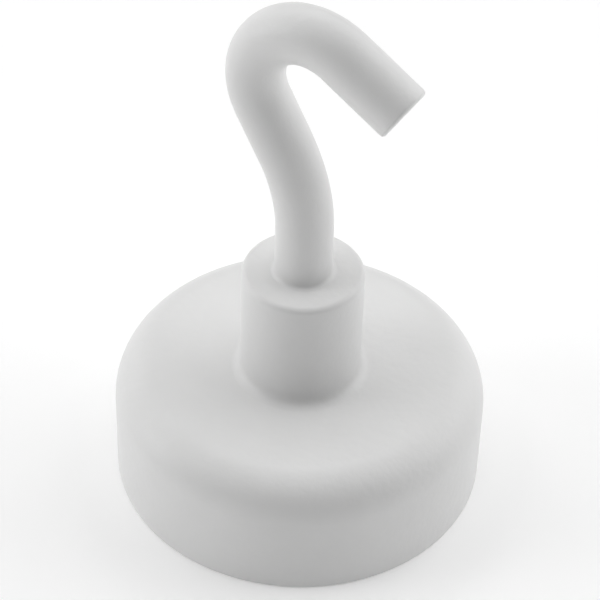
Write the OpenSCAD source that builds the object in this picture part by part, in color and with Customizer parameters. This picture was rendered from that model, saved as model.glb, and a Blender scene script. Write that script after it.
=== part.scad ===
// Hook magnet: a shallow steel pot with a magnet in its open underside, a
// threaded bush riveted into its crown, and an open wire hook in the bush.
// The origin is the centre of the pot's rim plane and +Z runs up the thread.
// The hook lies in the XZ plane, with its tip towards +X.

/* [Pot] */
// Outer diameter of the steel pot
pot_d = 25; // [24:0.5:30]
// Height of the pot from its rim to its crown
pot_h = 8.7; // [8.2:0.1:12]
// Radius of the pot's top outer edge
pot_edge_r = 2.7; // [1:0.1:3]
// Thickness of the pot's side wall
wall_t = 1.5; // [1:0.1:1.8]
// Chamfer on both edges of the pot's rim
rim_chamfer = 0.25; // [0.1:0.05:0.4]

/* [Magnet] */
// Diameter of the magnet disc
magnet_d = 20; // [16:0.5:20]
// Thickness of the magnet disc
magnet_t = 5; // [3:0.5:5.5]
// Radius of the magnet disc's edges
magnet_edge_r = 0.3; // [0.1:0.05:0.5]
// Depth of the magnet's face above the rim plane
magnet_recess = 0.2; // [0.1:0.05:0.4]
// Thickness of the adhesive film above the magnet
bond_t = 0.1; // [0.05:0.05:0.3]
// Depth of the epoxy's face above the rim plane
epoxy_recess = 0.45; // [0.2:0.05:0.8]

/* [Bush] */
// Outer diameter of the bush's barrel
bush_d = 8.1; // [7.5:0.1:10]
// Height of the barrel above the pot's crown
bush_h = 8.4; // [6:0.1:10]
// Radius of the barrel's top outer edge
bush_edge_r = 0.25; // [0.1:0.05:0.5]
// Radius of the fillet round the barrel's foot
bush_foot_r = 0.7; // [0.2:0.05:0.8]
// Diameter of the spigot that passes through the pot
spigot_d = 6; // [5.6:0.1:6.6]
// Diameter of the spigot's riveted end
rivet_d = 7.6; // [7.2:0.1:9]

/* [Thread] */
// Diameter over the crests of the hook's thread
thread_d = 3.9; // [3.6:0.05:4]
// Distance between one turn of the thread and the next
thread_pitch = 0.7; // [0.5:0.05:0.8]
// Depth of the thread
thread_depth = 0.32; // [0.2:0.02:0.34]
// Radial clearance between the hook's thread and the bush's
thread_clearance = 0.08; // [0.05:0.01:0.1]
// Number of turns on the hook's thread
hook_turns = 12; // [6:1:13]

/* [Hook] */
// Diameter of the hook's wire
wire_d = 3.8; // [3.4:0.1:4]
// Height of the straight shank above the bush
shank_l = 3.5; // [2:0.1:6]
// Angle by which the wire leans back from the shank
lean_angle = 30; // [20:1:40]
// Radius of the wire's centre line where it starts to lean
lean_bend_r = 12; // [8:0.5:16]
// Length of the straight leaning stretch
lean_l = 3.4; // [2:0.1:6]
// Radius of the wire's centre line round the bow
bow_r = 4.2; // [4:0.1:6]
// Angle by which the tip points below level
tip_angle = 30; // [20:1:45]
// Length of the straight tip
tip_l = 5; // [3:0.1:7]
// Radius of the tip's end edge
tip_edge_r = 0.25; // [0.1:0.05:0.6]
// Radius of the fillet of coat round the wire's foot
bead_r = 0.3; // [0.2:0.05:0.6]

/* [Hidden] */
$fn = 96;

// How far a cut runs past the solid that it cuts
margin = 1;

coat_white = [0.86, 0.86, 0.85];
nickel = [0.76, 0.75, 0.72];
resin_black = [0.08, 0.08, 0.09];
adhesive_amber = [0.78, 0.68, 0.42];

// Radii
pot_r = pot_d / 2;
cavity_r = pot_r - wall_t;
magnet_r = magnet_d / 2;
bush_r = bush_d / 2;
spigot_r = spigot_d / 2;
rivet_r = rivet_d / 2;
wire_r = wire_d / 2;
screw_crest_r = thread_d / 2;
screw_root_r = screw_crest_r - thread_depth;
bush_root_r = screw_crest_r + thread_clearance;
bush_crest_r = screw_root_r + thread_clearance;

// Heights above the rim plane
magnet_top_z = magnet_recess + magnet_t;
ceiling_z = magnet_top_z + bond_t;
bush_top_z = pot_h + bush_h;
shank_top_z = bush_top_z + shank_l;

// The rivet's cone leans at 45 degrees in the pot's countersink
rivet_h = rivet_r - spigot_r;

// The bush's mouth is counterbored, so that the plain wire enters it a little
mouth_depth = 0.9;
mouth_clearance = 0.06;
mouth_r = max(wire_r, screw_crest_r) + mouth_clearance;
mouth_chamfer = 0.1;
wire_entry = 0.6;

// The bead of coat at the wire's foot turns with the hook, just clear of the
// bush's top, and its skirt thins out to bead_edge_t.
bead_gap = 0.04;
bead_edge_t = 0.06;

// The thread is a stack of ridges at the real pitch, the same all the way
// round, so that the hook turns in the bush with no rise and no crossing.
// Each ridge is a crest between two flanks, and the rest of the pitch is root.
thread_top_z = bush_top_z - mouth_depth;
thread_bottom_z = thread_top_z - hook_turns * thread_pitch;
crest_share = 0.18;
flank_share = 0.27;
crest_w = crest_share * thread_pitch;
flank_w = flank_share * thread_pitch;

// Bending draws the wire a hair thinner, and each bend runs a little way into
// the straight stretches that it joins, so that the hook is one solid
bend_thinning = 0.01;
bend_wire_r = wire_r - bend_thinning;
bend_overlap = 0.2;

// Centres and angles of the hook's bends in the XZ plane, from +X towards +Z
lean_centre = [-lean_bend_r, shank_top_z];
lean_start = lean_centre + lean_bend_r * heading(lean_angle);
lean_end = lean_start + lean_l * heading(90 + lean_angle);
bow_centre = lean_end + bow_r * heading(lean_angle);
bow_from = 90 - tip_angle;
bow_to = 180 + lean_angle;
tip_start = bow_centre + bow_r * heading(bow_from);

// Unit vector in a plane, at an angle from the first axis
function heading(angle) = [cos(angle), sin(angle)];

// Outline of one ridge that stands on root_r and reaches crest_r, centred on z
function ridge(root_r, crest_r, z) = [
    [root_r, z - crest_w / 2 - flank_w],
    [crest_r, z - crest_w / 2],
    [crest_r, z + crest_w / 2],
    [root_r, z + crest_w / 2 + flank_w]
];

// Half outline of a threaded core with ridges from bottom to top
module thread_outline(root_r, crest_r, bottom, turns) {
    ridges = [for (turn = [0 : turns - 1])
        each ridge(root_r, crest_r, bottom + (turn + 0.5) * thread_pitch)];
    top = bottom + turns * thread_pitch;
    polygon(concat([[0, bottom], [root_r, bottom]], ridges, [[root_r, top], [0, top]]));
}

// Half outline of a slug with a rounded top edge, standing on the first axis
module slug_outline(radius, height, edge_r) {
    square([radius - edge_r, height]);
    square([radius, height - edge_r]);
    translate([radius - edge_r, height - edge_r]) circle(r = edge_r);
}

// Steel cup, open underneath, countersunk inside its crown for the rivet
module steel_pot() {
    color(coat_white)
    rotate_extrude()
    difference() {
        intersection() {
            slug_outline(pot_r, pot_h, pot_edge_r);
            square([pot_r, pot_h]);
        }
        square([cavity_r, ceiling_z]);
        square([spigot_r, pot_h + margin]);
        rivet_outline(margin);
        polygon([
            [pot_r - rim_chamfer, 0],
            [pot_r + margin, -margin],
            [pot_r + margin, rim_chamfer + margin],
            [pot_r, rim_chamfer]
        ]);
        polygon([
            [cavity_r - margin, -margin],
            [cavity_r + rim_chamfer, 0],
            [cavity_r, rim_chamfer]
        ]);
    }
}

// Bush with its spigot and rivet, bored and threaded right through
module threaded_bush() {
    bush_turns = floor((thread_top_z - ceiling_z) / thread_pitch);
    bore_bottom_z = thread_top_z - bush_turns * thread_pitch;
    color(coat_white)
    rotate_extrude()
    difference() {
        union() {
            translate([0, pot_h]) slug_outline(bush_r, bush_h, bush_edge_r);
            translate([0, ceiling_z]) square([spigot_r, pot_h - ceiling_z]);
            rivet_outline(0);
            bush_foot_outline();
        }
        thread_outline(bush_crest_r, bush_root_r, bore_bottom_z, bush_turns);
        translate([0, ceiling_z - margin]) square([bush_crest_r, bore_bottom_z - ceiling_z + margin]);
        translate([0, thread_top_z]) square([mouth_r, mouth_depth + margin]);
        polygon([
            [0, bush_top_z - mouth_chamfer],
            [mouth_r, bush_top_z - mouth_chamfer],
            [mouth_r + mouth_chamfer, bush_top_z],
            [mouth_r + mouth_chamfer, bush_top_z + margin],
            [0, bush_top_z + margin]
        ]);
    }
}

// Half outline of the spigot's riveted cone, carried on below the ceiling
module rivet_outline(below) {
    polygon([
        [0, ceiling_z - below],
        [rivet_r, ceiling_z - below],
        [rivet_r, ceiling_z],
        [spigot_r, ceiling_z + rivet_h],
        [0, ceiling_z + rivet_h]
    ]);
}

// Half outline of the hollow fillet between the barrel and the crown
module bush_foot_outline() {
    difference() {
        translate([spigot_r, pot_h]) square([bush_r + bush_foot_r - spigot_r, bush_foot_r]);
        translate([bush_r + bush_foot_r, pot_h + bush_foot_r]) circle(r = bush_foot_r);
    }
}

// Plated disc with rounded edges
module magnet_disc() {
    half_t = magnet_t / 2;
    color(nickel)
    translate([0, 0, magnet_recess + half_t])
    rotate_extrude() {
        slug_outline(magnet_r, half_t, magnet_edge_r);
        mirror([0, 1]) slug_outline(magnet_r, half_t, magnet_edge_r);
    }
}

// Film of adhesive between the magnet and the pot's ceiling
module bond_layer() {
    color(adhesive_amber)
    translate([0, 0, magnet_top_z])
    cylinder(r = magnet_r, h = bond_t);
}

// Resin between the magnet and the pot's wall
module epoxy_ring() {
    color(resin_black)
    translate([0, 0, epoxy_recess])
    difference() {
        cylinder(r = cavity_r, h = ceiling_z - epoxy_recess);
        translate([0, 0, -margin]) cylinder(r = magnet_r, h = ceiling_z + margin);
    }
}

// One bent wire: threaded shank, lean, bow and tip
module wire_hook() {
    color(coat_white) {
        rotate_extrude() hook_shank_outline();
        wire_bend(lean_centre, lean_bend_r, 0, lean_angle);
        wire_along(lean_start, 90 + lean_angle) cylinder(r = wire_r, h = lean_l);
        wire_bend(bow_centre, bow_r, bow_from, bow_to);
        wire_along(tip_start, -tip_angle) rotate_extrude() slug_outline(wire_r, tip_l, tip_edge_r);
    }
}

// Half outline of the shank, from the end of its thread to its first bend
module hook_shank_outline() {
    thread_outline(screw_root_r, screw_crest_r, thread_bottom_z, hook_turns);
    translate([0, thread_top_z]) square([screw_root_r, mouth_depth]);
    translate([0, bush_top_z - wire_entry]) square([wire_r, wire_entry + shank_l]);
    bead_outline();
}

// Half outline of the hollow fillet of coat between the wire and its skirt
module bead_outline() {
    difference() {
        translate([screw_root_r, bush_top_z + bead_gap])
        square([wire_r + bead_r - screw_root_r, bead_edge_t + bead_r]);
        translate([wire_r + bead_r, bush_top_z + bead_gap + bead_edge_t + bead_r]) circle(r = bead_r);
    }
}

// Wire bent in the XZ plane about centre, from one angle to another
module wire_bend(centre, bend_r, from, to) {
    overlap_angle = bend_overlap / bend_r * 180 / PI;
    translate([centre[0], 0, centre[1]])
    rotate([90, 0, 0])
    rotate([0, 0, from - overlap_angle])
    rotate_extrude(angle = to - from + 2 * overlap_angle)
    translate([bend_r, 0]) circle(r = bend_wire_r);
}

// Stands its children at a point of the XZ plane, heading at an angle from +X
module wire_along(start, angle) {
    translate([start[0], 0, start[1]])
    rotate([0, 90 - angle, 0])
    children();
}

steel_pot();
threaded_bush();
magnet_disc();
bond_layer();
epoxy_ring();
wire_hook();
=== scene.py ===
"""Looks of the hook magnet: a white coated pot magnet with a threaded bush and a wire hook.

Each visible CAD node is replaced by a finer piece of the same size, made as a profile turned
round the thread's axis or as a wire swept along its bends. The hidden bond layer stays as it is.
"""

import math

import bmesh
import bpy
from mathutils import Matrix, Vector


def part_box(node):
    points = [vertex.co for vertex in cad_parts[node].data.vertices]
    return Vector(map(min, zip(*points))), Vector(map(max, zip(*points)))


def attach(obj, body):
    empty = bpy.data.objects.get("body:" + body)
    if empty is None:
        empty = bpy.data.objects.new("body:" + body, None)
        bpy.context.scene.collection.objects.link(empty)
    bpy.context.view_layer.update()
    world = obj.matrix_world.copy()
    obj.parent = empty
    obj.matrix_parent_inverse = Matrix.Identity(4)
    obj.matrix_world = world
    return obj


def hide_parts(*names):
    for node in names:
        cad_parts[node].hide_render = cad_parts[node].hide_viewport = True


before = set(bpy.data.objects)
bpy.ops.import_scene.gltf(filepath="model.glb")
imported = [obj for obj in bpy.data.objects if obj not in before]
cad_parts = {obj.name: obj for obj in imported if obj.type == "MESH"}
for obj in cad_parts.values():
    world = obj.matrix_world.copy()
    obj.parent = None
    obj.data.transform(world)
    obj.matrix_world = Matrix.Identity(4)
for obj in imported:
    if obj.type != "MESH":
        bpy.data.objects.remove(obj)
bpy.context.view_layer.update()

MM = 0.001

# Sizes that the frame gives, in metres
POT_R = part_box("steel_pot")[1].x
POT_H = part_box("steel_pot")[1].z
BUSH_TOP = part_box("threaded_bush")[1].z
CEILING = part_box("threaded_bush")[0].z
MAGNET_LOW, MAGNET_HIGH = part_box("magnet_disc")
EPOXY_LOW, EPOXY_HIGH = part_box("epoxy_ring")
HOOK_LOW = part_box("wire_hook")[0]

# Pot
POT_EDGE_R = 2.7 * MM
RIM_EDGE_R = 0.25 * MM
RIVET_R = 3.8 * MM
SPIGOT_R = 3.0 * MM

# Bush
BUSH_R = 4.05 * MM
BUSH_EDGE_R = 0.4 * MM
BUSH_FOOT_R = 0.7 * MM
MOUTH_R = 2.01 * MM
MOUTH_LIP = 0.1 * MM

# Magnet disc and the resin round it
DISC_EDGE_R = 0.3 * MM
RESIN_HOLLOW = 0.16 * MM

# Thread, a stack of ridges at the real pitch
PITCH = 0.7 * MM
CREST_SHARE = 0.18
FLANK_SHARE = 0.27
SCREW_CREST_R = 1.95 * MM
SCREW_ROOT_R = 1.63 * MM
THREAD_GAP = 0.08 * MM
THREAD_TOP = BUSH_TOP - 0.9 * MM
WIRE_BOTTOM = BUSH_TOP - 0.6 * MM

# Hook
WIRE_R = 1.9 * MM
BEND_WIRE_R = 1.89 * MM
SHANK_L = 3.5 * MM
LEAN = math.radians(30)
LEAN_BEND_R = 12 * MM
LEAN_L = 3.4 * MM
BOW_R = 4.2 * MM
TIP_DROOP = math.radians(30)
TIP_L = 5 * MM
TIP_EDGE_R = 0.25 * MM

# Bead of coat at the wire's foot, a hair above the bush's top
BEAD_R = 0.3 * MM
BEAD_GAP = 0.004 * MM
BEAD_EDGE = 0.004 * MM

# How finely round shapes are divided
POT_SEGMENTS = 256
BUSH_SEGMENTS = 160
WIRE_SEGMENTS = 72
FLOOR_SEGMENTS = 96
ARC_STEP = math.radians(7.5)
CROWN_ARC_STEP = math.radians(4)
DISC_ARC_STEP = math.radians(10)
SMALL_ARC_STEP = math.radians(15)
LIP_ARC_STEP = math.radians(18)
WIRE_STEP = 0.35 * MM
RESIN_STEPS = 12

# Where flat and straight stretches are divided: radii on the crown, the bush's top and the disc,
# heights on the wall, and heights up the barrel and the wire's foot from where each begins
CROWN_LOOPS = (7 * MM, 8.5 * MM)
TOP_LOOP = 3 * MM
DISC_LOOPS = (4 * MM, 8 * MM)
WALL_LOOPS = (4.8 * MM, 3.6 * MM, 2.4 * MM, 1.2 * MM)
BARREL_LOOPS = (2 * MM, 4 * MM, 6 * MM)
FOOT_LOOPS = (1.2 * MM, 2.3 * MM)

# A radius that counts as nothing, and a share of a turn that rounding may lose
ON_AXIS = 1e-9
ROUNDING = 1e-6


# ---------------------------------------------------------------- shapes


def arc(centre, radius, start, end, step=ARC_STEP):
    """Points of a circle's arc in a profile plane, from one angle to another in degrees."""
    first, last = math.radians(start), math.radians(end)
    count = max(2, math.ceil(abs(last - first) / step))
    angles = [first + (last - first) * i / count for i in range(count + 1)]
    return [(centre[0] + radius * math.cos(a), centre[1] + radius * math.sin(a)) for a in angles]


def smooth_object(name, mesh, sharp_angle=35):
    """An object for a finished mesh, shaded smooth with the sharp edges kept."""
    mesh.polygons.foreach_set("use_smooth", [True] * len(mesh.polygons))
    mesh.set_sharp_from_angle(angle=math.radians(sharp_angle))
    piece = bpy.data.objects.new(name, mesh)
    bpy.context.scene.collection.objects.link(piece)
    return piece


def closed_mesh(name, rings, wrap_ends):
    """A mesh of quads between rings of points. A ring of one point closes the end as a fan.

    With wrap_ends the last ring joins the first, as on a turned ring with a hole.
    """
    made = bmesh.new()
    rows = [[made.verts.new(p) for p in ring] for ring in rings]
    pairs = list(zip(rows, rows[1:]))
    if wrap_ends:
        pairs.append((rows[-1], rows[0]))
    for low, high in pairs:
        count = max(len(low), len(high))
        for i in range(count):
            j = (i + 1) % count
            corners = [low[i % len(low)], low[j % len(low)], high[j % len(high)], high[i % len(high)]]
            corners = [v for k, v in enumerate(corners) if v not in corners[:k]]
            made.faces.new(corners)
    bmesh.ops.recalc_face_normals(made, faces=made.faces)
    mesh = bpy.data.meshes.new(name)
    made.to_mesh(mesh)
    made.free()
    return mesh


def turned(name, profile, segments, ring=False):
    """A profile of (radius, height) points turned round the Z axis, closed."""
    rings = []
    for radius, height in profile:
        if radius < ON_AXIS:
            rings.append([Vector((0, 0, height))])
            continue
        angles = [2 * math.pi * i / segments for i in range(segments)]
        rings.append([Vector((radius * math.cos(a), radius * math.sin(a), height)) for a in angles])
    return smooth_object(name, closed_mesh(name, rings, ring))


def thread_profile(root_r, crest_r, top, bottom):
    """(radius, height) points down a threaded length, one ridge for each whole pitch."""
    points = [(root_r, top)]
    for turn in range(round((top - bottom) / PITCH)):
        middle = top - (turn + 0.5) * PITCH
        half_crest = CREST_SHARE * PITCH / 2
        half_ridge = half_crest + FLANK_SHARE * PITCH
        points += [(root_r, middle + half_ridge), (crest_r, middle + half_crest)]
        points += [(crest_r, middle - half_crest), (root_r, middle - half_ridge)]
    return points + [(root_r, bottom)]


# ---------------------------------------------------------------- materials


# The values that noise mostly keeps between
NOISE_LOW, NOISE_HIGH = 0.25, 0.75


def new_material(name):
    """An empty node material and its Principled shader."""
    material = bpy.data.materials.new(name)
    material.use_nodes = True
    return material, material.node_tree, material.node_tree.nodes["Principled BSDF"]


def noise(tree, scale, detail=2.0, roughness=0.5, stretch=(1, 1, 1)):
    """Noise over the piece's own coordinates, at so many waves a metre."""
    place = tree.nodes.new("ShaderNodeTexCoord")
    mapping = tree.nodes.new("ShaderNodeMapping")
    mapping.inputs["Scale"].default_value = stretch
    texture = tree.nodes.new("ShaderNodeTexNoise")
    texture.inputs["Scale"].default_value = scale
    texture.inputs["Detail"].default_value = detail
    texture.inputs["Roughness"].default_value = roughness
    tree.links.new(place.outputs["Object"], mapping.inputs["Vector"])
    tree.links.new(mapping.outputs["Vector"], texture.inputs["Vector"])
    return texture.outputs["Fac"]


def spread(tree, value, low, high):
    """A noise or cell value stretched over the range from low to high."""
    node = tree.nodes.new("ShaderNodeMapRange")
    node.inputs["From Min"].default_value = NOISE_LOW
    node.inputs["From Max"].default_value = NOISE_HIGH
    node.inputs["To Min"].default_value = low
    node.inputs["To Max"].default_value = high
    tree.links.new(value, node.inputs["Value"])
    return node.outputs["Result"]


def mixed_colour(tree, value, first, second):
    """A colour between two, by a 0 to 1 value."""
    node = tree.nodes.new("ShaderNodeMix")
    node.data_type = "RGBA"
    node.inputs["A"].default_value = (*first, 1)
    node.inputs["B"].default_value = (*second, 1)
    tree.links.new(value, node.inputs["Factor"])
    return node.outputs["Result"]


def bump(tree, height, depth, strength, under=None):
    """A bump of a given depth in metres, on top of another bump where one is given."""
    node = tree.nodes.new("ShaderNodeBump")
    node.inputs["Distance"].default_value = depth
    node.inputs["Strength"].default_value = strength
    tree.links.new(height, node.inputs["Height"])
    if under:
        tree.links.new(under, node.inputs["Normal"])
    return node.outputs["Normal"]


def white_coat():
    """Smooth satin powder coat: faint orange peel, a finer grain and a slight change of gloss."""
    material, tree, shader = new_material("white_coat")
    tone = spread(tree, noise(tree, scale=260, detail=3), low=0, high=1)
    colour = mixed_colour(tree, tone, (0.77, 0.77, 0.767), (0.79, 0.79, 0.787))
    tree.links.new(colour, shader.inputs["Base Color"])
    gloss = spread(tree, noise(tree, scale=900, detail=4, roughness=0.6), low=0.38, high=0.48)
    tree.links.new(gloss, shader.inputs["Roughness"])
    peel = bump(tree, noise(tree, scale=1700, detail=1.5), depth=0.05 * MM, strength=0.5)
    grain = bump(tree, noise(tree, scale=9000), depth=0.01 * MM, strength=0.6, under=peel)
    tree.links.new(grain, shader.inputs["Normal"])
    return material


def nickel_plate():
    """Nickel over sintered neodymium: bright, faintly grained, with fine scuffs both ways."""
    material, tree, shader = new_material("nickel_plate")
    shader.inputs["Metallic"].default_value = 1.0
    tone = spread(tree, noise(tree, scale=420, detail=4), low=0, high=1)
    colour = mixed_colour(tree, tone, (0.56, 0.545, 0.51), (0.68, 0.665, 0.63))
    tree.links.new(colour, shader.inputs["Base Color"])
    gloss = spread(tree, noise(tree, scale=1500, detail=5, roughness=0.65), low=0.16, high=0.36)
    tree.links.new(gloss, shader.inputs["Roughness"])
    grain = bump(tree, noise(tree, scale=5200, detail=4), depth=0.006 * MM, strength=0.25)
    scuffs = noise(tree, scale=800, detail=3, roughness=0.6, stretch=(1, 30, 1))
    along = bump(tree, scuffs, depth=0.004 * MM, strength=0.35, under=grain)
    scuffs = noise(tree, scale=700, detail=3, roughness=0.6, stretch=(26, 1.5, 1))
    across = bump(tree, scuffs, depth=0.004 * MM, strength=0.25, under=along)
    tree.links.new(across, shader.inputs["Normal"])
    return material


def potting_resin():
    """Black cast epoxy with a soft ripple and small pits where bubbles broke."""
    material, tree, shader = new_material("potting_resin")
    tone = spread(tree, noise(tree, scale=700, detail=4), low=0, high=1)
    colour = mixed_colour(tree, tone, (0.012, 0.012, 0.013), (0.03, 0.03, 0.032))
    tree.links.new(colour, shader.inputs["Base Color"])
    gloss = spread(tree, noise(tree, scale=1300, detail=3), low=0.28, high=0.5)
    tree.links.new(gloss, shader.inputs["Roughness"])
    ripple = bump(tree, noise(tree, scale=800), depth=0.05 * MM, strength=0.35)
    place = tree.nodes.new("ShaderNodeTexCoord")
    cells = tree.nodes.new("ShaderNodeTexVoronoi")
    cells.inputs["Scale"].default_value = 1400
    tree.links.new(place.outputs["Object"], cells.inputs["Vector"])
    hollows = spread(tree, cells.outputs["Distance"], low=0, high=1)
    pits = bump(tree, hollows, depth=0.03 * MM, strength=0.3, under=ripple)
    tree.links.new(pits, shader.inputs["Normal"])
    return material


def adhesive_film():
    """Cured amber adhesive, cloudy, for the hidden film above the magnet."""
    material, tree, shader = new_material("adhesive_film")
    tone = spread(tree, noise(tree, scale=900, detail=3), low=0, high=1)
    colour = mixed_colour(tree, tone, (0.5, 0.37, 0.14), (0.62, 0.48, 0.2))
    tree.links.new(colour, shader.inputs["Base Color"])
    gloss = spread(tree, noise(tree, scale=1500, detail=3), low=0.25, high=0.4)
    tree.links.new(gloss, shader.inputs["Roughness"])
    return material


def floor_paper():
    """Plain white paper, lit a little from below, so that it stays pale all round."""
    material, tree, shader = new_material("floor_paper")
    tone = spread(tree, noise(tree, scale=35, detail=3), low=0, high=1)
    colour = mixed_colour(tree, tone, (0.89, 0.89, 0.89), (0.91, 0.91, 0.91))
    tree.links.new(colour, shader.inputs["Base Color"])
    shader.inputs["Roughness"].default_value = 0.8
    shader.inputs["Emission Color"].default_value = (1, 1, 1, 1)
    shader.inputs["Emission Strength"].default_value = FLOOR_GLOW
    return material


# ---------------------------------------------------------------- pieces


def finish_piece(piece, material, body, node):
    """Gives a piece its material, slot and body, and hides the CAD node that it stands for."""
    piece.data.materials.append(material)
    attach(piece, body)
    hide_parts(node)


def pot_shell(coat):
    """The steel cup, turned: rounded crown edge, wall, rounded rim, cavity and countersink."""
    cavity_r = EPOXY_HIGH.x
    edge = (POT_R - POT_EDGE_R, POT_H - POT_EDGE_R)
    profile = [(SPIGOT_R, POT_H)]
    profile += [(radius, POT_H) for radius in (BUSH_R + BUSH_FOOT_R, *CROWN_LOOPS)]
    profile += arc(edge, POT_EDGE_R, 90, 0, CROWN_ARC_STEP)
    profile += [(POT_R, height) for height in WALL_LOOPS]
    profile += arc((POT_R - RIM_EDGE_R, RIM_EDGE_R), RIM_EDGE_R, 0, -90, SMALL_ARC_STEP)
    profile += arc((cavity_r + RIM_EDGE_R, RIM_EDGE_R), RIM_EDGE_R, -90, -180, SMALL_ARC_STEP)
    profile += [(cavity_r, CEILING), (RIVET_R, CEILING)]
    profile += [(SPIGOT_R, CEILING + RIVET_R - SPIGOT_R)]
    piece = turned("pot_shell", profile, POT_SEGMENTS, ring=True)
    finish_piece(piece, coat, "magnet", "steel_pot")


def bush_barrel(coat):
    """The bush, turned: foot fillet, barrel, rounded top edge, mouth, thread, spigot and rivet."""
    crest_r = SCREW_ROOT_R + THREAD_GAP
    root_r = SCREW_CREST_R + THREAD_GAP
    whole_turns = math.floor((THREAD_TOP - CEILING) / PITCH + ROUNDING)
    bore_bottom = THREAD_TOP - whole_turns * PITCH
    foot = (BUSH_R + BUSH_FOOT_R, POT_H + BUSH_FOOT_R)
    edge = (BUSH_R - BUSH_EDGE_R, BUSH_TOP - BUSH_EDGE_R)
    lip = (MOUTH_R + MOUTH_LIP, BUSH_TOP - MOUTH_LIP)
    profile = [(RIVET_R, CEILING), (SPIGOT_R, CEILING + RIVET_R - SPIGOT_R), (SPIGOT_R, POT_H)]
    profile += arc(foot, BUSH_FOOT_R, 270, 180)
    profile += [(BUSH_R, POT_H + height) for height in BARREL_LOOPS]
    profile += arc(edge, BUSH_EDGE_R, 0, 90)
    profile += [(TOP_LOOP, BUSH_TOP)]
    profile += arc(lip, MOUTH_LIP, 90, 180, LIP_ARC_STEP)
    profile += [(MOUTH_R, THREAD_TOP)]
    profile += thread_profile(crest_r, root_r, THREAD_TOP, bore_bottom)
    profile += [(crest_r, CEILING)]
    piece = turned("bush_barrel", profile, BUSH_SEGMENTS, ring=True)
    finish_piece(piece, coat, "magnet", "threaded_bush")


def magnet_face(plate):
    """The plated disc, turned, with rounded edges."""
    edge_r = DISC_EDGE_R
    middle, low, high = MAGNET_HIGH.x - edge_r, MAGNET_LOW.z, MAGNET_HIGH.z
    profile = [(radius, low) for radius in (0, *DISC_LOOPS)]
    profile += arc((middle, low + edge_r), edge_r, -90, 0, DISC_ARC_STEP)
    profile += arc((middle, high - edge_r), edge_r, 0, 90, DISC_ARC_STEP)
    profile += [(0, high)]
    piece = turned("magnet_face", profile, POT_SEGMENTS)
    finish_piece(piece, plate, "magnet", "magnet_disc")


def resin_ring(resin):
    """The potting resin, turned, with the hollow face that cast epoxy is left with."""
    inner, outer = MAGNET_HIGH.x, EPOXY_HIGH.x
    profile = [(outer, EPOXY_HIGH.z), (inner, EPOXY_HIGH.z)]
    for i in range(RESIN_STEPS + 1):
        across = i / RESIN_STEPS
        sag = RESIN_HOLLOW * math.sin(math.pi * across)
        profile.append((inner + (outer - inner) * across, EPOXY_LOW.z + sag))
    piece = turned("resin_ring", profile, POT_SEGMENTS, ring=True)
    finish_piece(piece, resin, "magnet", "epoxy_ring")


def bead_profile():
    """(radius, height) points up the wire's foot: a thin skirt and a hollow fillet of coat."""
    low = BUSH_TOP + BEAD_GAP
    centre = (WIRE_R + BEAD_R, low + BEAD_EDGE + BEAD_R)
    return [(WIRE_R, low), (WIRE_R + BEAD_R, low), *arc(centre, BEAD_R, 270, 180)]


def hook_stations():
    """(x, z, heading, radius) down the hook's wire, from the thread's end to the tip's face.

    heading is the wire's direction in the XZ plane, from +X towards +Z.
    """
    up = math.pi / 2
    thread = thread_profile(SCREW_ROOT_R, SCREW_CREST_R, THREAD_TOP, HOOK_LOW.z)
    stations = [(0, height, up, radius) for radius, height in reversed(thread)]
    stations += [(0, WIRE_BOTTOM, up, SCREW_ROOT_R), (0, WIRE_BOTTOM, up, WIRE_R)]
    stations += [(0, height, up, radius) for radius, height in bead_profile()]
    stations += [(0, BUSH_TOP + height, up, WIRE_R) for height in FOOT_LOOPS]
    x, z, heading = 0, BUSH_TOP + SHANK_L, up

    bow_turn = LEAN + up + TIP_DROOP
    stretches = [(LEAN_BEND_R, LEAN), (None, LEAN_L), (-BOW_R, bow_turn), (None, TIP_L - TIP_EDGE_R)]
    for bend_r, turn in stretches:
        length = turn if bend_r is None else abs(bend_r) * turn
        count = math.ceil(length / WIRE_STEP)
        x_start, z_start, heading_start = x, z, heading
        for i in range(count):
            bent = bend_r is not None and i > 0
            stations.append((x, z, heading, BEND_WIRE_R if bent else WIRE_R))
            along = (i + 1) / count
            if bend_r is None:
                x = x_start + length * along * math.cos(heading_start)
                z = z_start + length * along * math.sin(heading_start)
            else:
                heading = heading_start + math.copysign(turn, bend_r) * along
                x = x_start + bend_r * (math.sin(heading) - math.sin(heading_start))
                z = z_start - bend_r * (math.cos(heading) - math.cos(heading_start))

    for outward, along in arc((0, 0), TIP_EDGE_R, 0, 90, SMALL_ARC_STEP):
        centre = (x + along * math.cos(heading), z + along * math.sin(heading))
        stations.append((*centre, heading, WIRE_R - TIP_EDGE_R + outward))
    return stations


def wire_hook(coat):
    """The hook, one wire swept along its stations, closed with a flat face at each end."""
    rings = []
    for x, z, heading, radius in hook_stations():
        across = Vector((math.sin(heading), 0, -math.cos(heading)))
        ring = []
        for i in range(WIRE_SEGMENTS):
            angle = 2 * math.pi * i / WIRE_SEGMENTS
            ring.append(Vector((x, radius * math.sin(angle), z)) + across * radius * math.cos(angle))
        rings.append(ring)
    ends = [sum(ring, Vector()) / WIRE_SEGMENTS for ring in (rings[0], rings[-1])]
    rings = [[ends[0]], *rings, [ends[1]]]
    piece = smooth_object("hook_wire", closed_mesh("hook_wire", rings, False))
    finish_piece(piece, coat, "hook", "wire_hook")


# ---------------------------------------------------------------- stage


# Where the camera stands, as turns about the thread's axis and above the holding face
CAMERA_AZIMUTH = math.radians(31.2)
CAMERA_ELEVATION = math.radians(42.55)
CAMERA_ROLL = math.radians(1.7)
CAMERA_DISTANCE = 163.8 * MM
CAMERA_LENS = 149.4
CAMERA_SENSOR = 36
CAMERA_CLIP = (5 * MM, 20)
AIM_SIDEWAYS = -0.16 * MM
AIM_HEIGHT = 14.36 * MM

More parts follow.
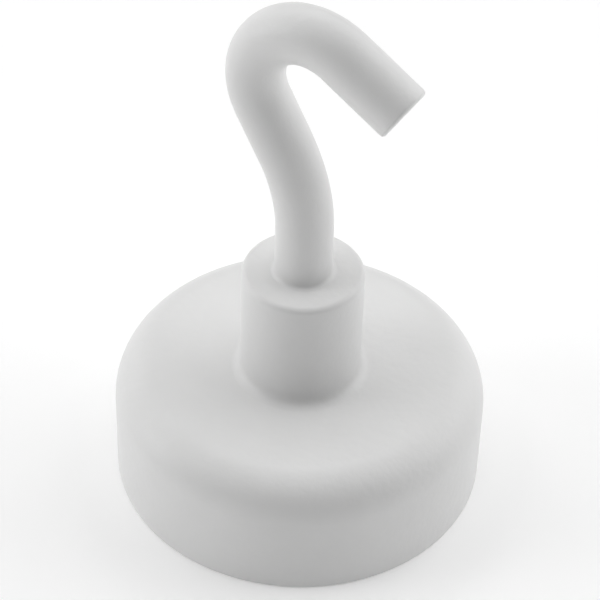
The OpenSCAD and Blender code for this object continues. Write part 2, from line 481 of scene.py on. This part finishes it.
FLOOR_GLOW = 0.17
FLOOR_LOOPS = (0.2, 1, 3.0)
FLOOR_THICKNESS = 10 * MM

# Soft boxes all round, brightest at the sides and back: name, azimuth and elevation in degrees,
# and power in watts
SOFT_BOXES = [
    ("top", 31, 85, 0.98),
    ("front_top", 31, 65, 0.38),
    ("front_right_high", 76, 48, 0.16),
    ("right_low", 121, 18, 0.74),
    ("right_high", 121, 48, 0.94),
    ("back_right_middle", 136, 25, 1.16),
    ("back_right_low", 166, 18, 0.93),
    ("back_right_high", 166, 48, 1.27),
    ("back_high", 211, 48, 1.15),
    ("back_left_low", 256, 18, 0.89),
    ("back_left_high", 256, 48, 1.06),
    ("left_low", 301, 18, 2.24),
    ("left_high", 301, 48, 1.05),
    ("front_left_high", 346, 48, 0.33),
]
SOFT_BOX_DISTANCE = 900 * MM
SOFT_BOX_SIDE = 500 * MM
WORLD_STRENGTH = 0.03


def direction(azimuth, elevation):
    """Unit vector from the object towards a place; azimuth 0 is -Y, and it turns towards +X."""
    level = math.cos(elevation)
    return Vector((math.sin(azimuth) * level, -math.cos(azimuth) * level, math.sin(elevation)))


def make_camera():
    """A long lens that looks down on the object, rolled a little."""
    back = direction(CAMERA_AZIMUTH, CAMERA_ELEVATION)
    right = direction(CAMERA_AZIMUTH + math.pi / 2, 0)
    up = back.cross(right)
    aim = right * AIM_SIDEWAYS + Vector((0, 0, AIM_HEIGHT))
    rolled_right = right * math.cos(CAMERA_ROLL) + up * math.sin(CAMERA_ROLL)
    rolled_up = up * math.cos(CAMERA_ROLL) - right * math.sin(CAMERA_ROLL)
    data = bpy.data.cameras.new("camera")
    data.lens = CAMERA_LENS
    data.sensor_width = CAMERA_SENSOR
    data.clip_start, data.clip_end = CAMERA_CLIP
    camera = bpy.data.objects.new("camera", data)
    turn = Matrix((rolled_right, rolled_up, back)).transposed().to_4x4()
    camera.matrix_world = Matrix.Translation(aim + back * CAMERA_DISTANCE) @ turn
    bpy.context.scene.collection.objects.link(camera)
    bpy.context.scene.camera = camera


def make_soft_box(name, azimuth, elevation, power):
    """A square area light that faces the object's middle."""
    middle = Vector((0, 0, POT_H))
    away = direction(math.radians(azimuth), math.radians(elevation))
    data = bpy.data.lights.new(name, "AREA")
    data.shape = "SQUARE"
    data.size = SOFT_BOX_SIDE
    data.energy = power
    box = bpy.data.objects.new(name, data)
    box.location = middle + away * SOFT_BOX_DISTANCE
    box.rotation_mode = "QUATERNION"
    box.rotation_quaternion = away.to_track_quat("Z", "Y")
    bpy.context.scene.collection.objects.link(box)


def make_floor():
    """A plain pale floor under the object."""
    profile = [(radius, 0) for radius in (0, *FLOOR_LOOPS)]
    profile += [(radius, -FLOOR_THICKNESS) for radius in (FLOOR_LOOPS[-1], 0)]
    piece = turned("floor", profile, FLOOR_SEGMENTS)
    piece.data.materials.append(floor_paper())


def make_world():
    """Even white light from all round."""
    world = bpy.data.worlds.new("studio")
    world.use_nodes = True
    sky = world.node_tree.nodes["Background"]
    sky.inputs["Color"].default_value = (1, 1, 1, 1)
    sky.inputs["Strength"].default_value = WORLD_STRENGTH
    bpy.context.scene.world = world


coat = white_coat()
pot_shell(coat)
bush_barrel(coat)
wire_hook(coat)
magnet_face(nickel_plate())
resin_ring(potting_resin())
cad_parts["bond_layer"].data.materials.clear()
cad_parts["bond_layer"].data.materials.append(adhesive_film())

make_floor()
make_world()
for soft_box in SOFT_BOXES:
    make_soft_box(*soft_box)
make_camera()
bpy.context.scene.view_settings.view_transform = "Standard"
